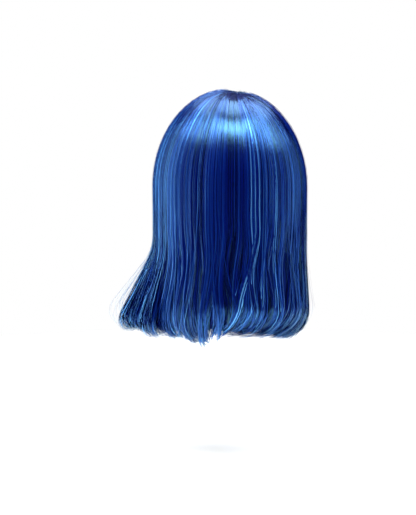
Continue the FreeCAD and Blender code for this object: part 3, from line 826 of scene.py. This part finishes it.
def in_cap(points):
    """True for points behind the face opening, above the nape and outside the ear's cut-out."""
    y, z = points[..., 1], points[..., 2]
    behind = (y - HAIRLINE[0]) * math.cos(FACE_TILT) + (z - HAIRLINE[1]) * math.sin(FACE_TILT)
    near_ear = np.hypot(y - EAR[0], np.maximum(z - EAR[1], 0)) < EAR_RADIUS
    return (behind > 0) & (z > NAPE_Z) & ~near_ear


def build_net():
    """The open stretch net: threads in two crossing directions."""
    rows, turns = 62, 88
    polar = np.linspace(2 * DEG, 124 * DEG, rows)
    heads, tails = [], []
    for row in range(rows - 1):
        for lean in (-0.5, 0.5):
            here = (np.arange(turns) + 0.5 * (row % 2)) * 2 * np.pi / turns
            there = here + lean * 2 * np.pi / turns
            for store, angle, fall in ((heads, here, polar[row]), (tails, there, polar[row + 1])):
                store.append(np.stack([
                    np.sin(angle) * math.sin(fall), -np.cos(angle) * math.sin(fall),
                    np.full(turns, math.cos(fall)),
                ], -1))
    heads, tails = np.concatenate(heads), np.concatenate(tails)
    level = 1.4 * MM
    share = np.linspace(0, 1, 3)[None, :, None]
    paths = on_form(unit(heads[:, None] * (1 - share) + tails[:, None] * share), level)
    paths = paths[in_cap(paths).all(1)]
    radius = np.full(paths.shape[:2], THREAD_RADIUS)
    outward = unit(paths - np.array([0, 0, -HEAD[2]]))
    piece = tubes("crown_net_threads", paths, radius, radius, outward, np.zeros(len(paths)), 3)
    piece.data.materials.append(NET)
    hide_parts("crown_net")
    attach(piece, "cap")


def face_curve(setback, offset, count, low_z):
    """The line on an offset form that runs round the face opening, set back from its edge."""
    along = np.array([0, math.sin(FACE_TILT), -math.cos(FACE_TILT)])
    normal = np.array([0, math.cos(FACE_TILT), math.sin(FACE_TILT)])
    semi = HEAD + offset
    start = np.array([0, HAIRLINE[0], HAIRLINE[1] + HEAD[2]]) + normal * setback
    quad = ((along / semi) ** 2).sum()
    middle = start - along * ((start * along / semi ** 2).sum() / quad)
    left = 1 - ((middle / semi) ** 2).sum()
    half_x, half_w = semi[0] * math.sqrt(left), math.sqrt(left / quad)
    turn = np.linspace(-math.pi, math.pi, count)
    points = middle + np.stack(
        [np.sin(turn) * half_x, 0 * turn, 0 * turn], -1
    ) - np.cos(turn)[:, None] * half_w * along
    points = points + np.array([0, 0, -HEAD[2]])
    return points[points[:, 2] > low_z]


def stitches(name, points, length, lift):
    """A row of short stitches along a line."""
    run = np.concatenate([[0], np.cumsum(np.linalg.norm(np.diff(points, axis=0), axis=1))])
    at = np.arange(0, run[-1] - length, length * 1.6)
    ends = []
    for shift in (0, 0.5, 1):
        place = at + shift * length
        ends.append(np.stack([np.interp(place, run, points[:, k]) for k in range(3)], -1))
    paths = np.stack(ends, 1)
    outward = unit(paths - np.array([0, 0, -HEAD[2]]))
    paths = paths + outward * (lift * np.array([0, 1, 0])[None, :, None])
    radius = np.full(paths.shape[:2], THREAD_RADIUS)
    piece = tubes(name, paths, radius, radius, outward, np.zeros(len(paths)), 4)
    piece.data.materials.append(THREAD)
    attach(piece, "cap")


def build_straps():
    """The elastic straps: ribbed ribbons on an arc, one a side."""
    slope, radius, height, thick = 0.42, 68.3 * MM, 9 * MM, 0.8 * MM
    centre, level = np.array([-8.5, 13.5]) * MM, -152 * MM
    ribs = 90
    for side, mirror in (("left", 1), ("right", -1)):
        angle = np.linspace(43 * DEG, 78 * DEG, ribs)
        rise = np.linspace(-0.5, 0.5, 13) * height
        rib = 0.12 * MM * (np.arange(ribs) % 2)

        def face(inset):
            r = radius + slope * rise[None, :] - inset - rib[:, None] * (1 if inset == 0 else -1)
            x = centre[0] + r * np.sin(angle)[:, None]
            y = centre[1] + r * np.cos(angle)[:, None]
            z = np.broadcast_to(level + rise, r.shape)
            return np.stack([x * mirror, y, z], -1)

        outer, inner = face(0.0), face(thick)
        if mirror < 0:
            outer, inner = outer[::-1], inner[::-1]
        piece = slab(f"{side}_elastic", outer, inner, np.zeros(ribs))
        piece.data.materials.append(ELASTIC)
        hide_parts(f"{side}_adjuster_strap")
        ends = [outer[:3].mean((0, 1)), outer[-3:].mean((0, 1))]
        if mirror > 0:
            ends = ends[::-1]
        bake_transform(piece)


def dress_cap():
    """Materials of the sewn pieces, and their stitches."""
    finishes = {
        "band": VELVET, "ear_tab": VELVET, "ear_binding": VELVET, "tape": TAPE,
        "strap_loop": ELASTIC, "hook": WIRE, "stay": STAY, "skin_top": SKIN, "weft_row": WEFT,
    }
    for name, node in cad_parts.items():
        for word, material in finishes.items():
            if word in name:
                node.data.materials.clear()
                node.data.materials.append(material)
    inset, points, seam_end, stitch = -0.25 * MM, 400, -100 * MM, 2.4 * MM
    for edge, setback in (("front", 2 * MM), ("back", 14 * MM)):
        line = face_curve(setback, inset, points, seam_end)
        stitches(f"front_band_seam_{edge}", line, stitch, inset)


long_locks = build_long_hair()
build_underside()
build_bases(long_locks)
build_fringe()
build_strays()
build_net()
build_straps()
dress_cap()


# ---------------------------------------------------------------------------
# Stage
# ---------------------------------------------------------------------------
CAMERA_TURN = 147 * DEG
CAMERA_RISE = 5 * DEG
CAMERA_DISTANCE = 1.5
CAMERA_LENS = 87
CAMERA_TARGET = Vector((0.021, -0.0136, -0.1886))
LIGHTS_CENTRE = Vector((0, 0, -0.13))
FLOOR_Z = -0.43
FLOOR_RADIUS = 1.05
# What the white surround gives the object as light; the camera sees it at full strength.
FILL = 0.02
# Cool light from the sides
COOL = (0.8, 0.95, 1)


def build_stage():
    """Pale floor, white surround, soft boxes and the camera."""
    bpy.ops.mesh.primitive_circle_add(
        vertices=96, radius=FLOOR_RADIUS, fill_type="NGON", location=(0, 0, FLOOR_Z),
    )
    floor = bpy.context.object
    floor.name = "floor"
    material, tree, shader = node_material("pale_floor", 0.9)
    shade = ramp(tree, noise(tree, 0.6), [(0.3, (0.86, 0.87, 0.88)), (0.7, (0.92, 0.92, 0.92))])
    tree.links.new(shade, shader.inputs["Base Color"])
    floor.data.materials.append(material)

    world = bpy.data.worlds.new("surround")
    world.use_nodes = True
    bpy.context.scene.world = world
    tree = world.node_tree
    background = tree.nodes["Background"]
    path = tree.nodes.new("ShaderNodeLightPath")
    strength = math_node(tree, "MULTIPLY", path.outputs["Is Camera Ray"], 1 - FILL)
    tree.links.new(math_node(tree, "ADD", strength, FILL), background.inputs["Strength"])
    background.inputs["Color"].default_value = (1, 1, 1, 1)

    to_camera = Vector((math.sin(CAMERA_TURN), -math.cos(CAMERA_TURN), 0))
    right = Vector((math.cos(CAMERA_TURN), math.sin(CAMERA_TURN), 0))

    def soft_box(name, direction, distance, width, height, power, colour=(1, 1, 1)):
        light = bpy.data.lights.new(name, "AREA")
        light.color = colour
        light.shape = "RECTANGLE"
        light.size = width
        light.size_y = height
        light.energy = power
        holder = bpy.data.objects.new(name, light)
        bpy.context.scene.collection.objects.link(holder)
        holder.location = LIGHTS_CENTRE + direction.normalized() * distance
        holder.rotation_euler = (-direction).to_track_quat("-Z", "Y").to_euler()
        holder.visible_camera = False

    up = Vector((0, 0, 1))
    soft_box(
        "key", to_camera * 0.4 + up * 0.92 - right * 0.03,
        distance=1.6, width=3.6, height=0.45, power=125, colour=(0.93, 0.91, 0.86),
    )
    soft_box(
        "ceiling", up - to_camera * 0.16,
        distance=1.6, width=1.8, height=0.8, power=46, colour=(0.92, 0.9, 0.95),
    )
    soft_box(
        "back_panel", -to_camera - up * 0.1, distance=1.8, width=2.6, height=1.0, power=14,
    )
    soft_box(
        "left_panel", -right + up * 0.1 - to_camera * 0.2,
        distance=1.5, width=0.35, height=1.8, power=14, colour=COOL,
    )
    soft_box(
        "right_panel", right + up * 0.1 + to_camera * 0.1,
        distance=1.5, width=0.25, height=1.8, power=10, colour=COOL,
    )

    camera = bpy.data.cameras.new("camera")
    camera.lens = CAMERA_LENS
    holder = bpy.data.objects.new("camera", camera)
    bpy.context.scene.collection.objects.link(holder)
    away = to_camera * math.cos(CAMERA_RISE) + up * math.sin(CAMERA_RISE)
    holder.location = CAMERA_TARGET + away * CAMERA_DISTANCE
    holder.rotation_euler = (-away).to_track_quat("-Z", "Y").to_euler()
    bpy.context.scene.camera = holder
    bpy.context.scene.view_settings.view_transform = "Standard"


build_stage()
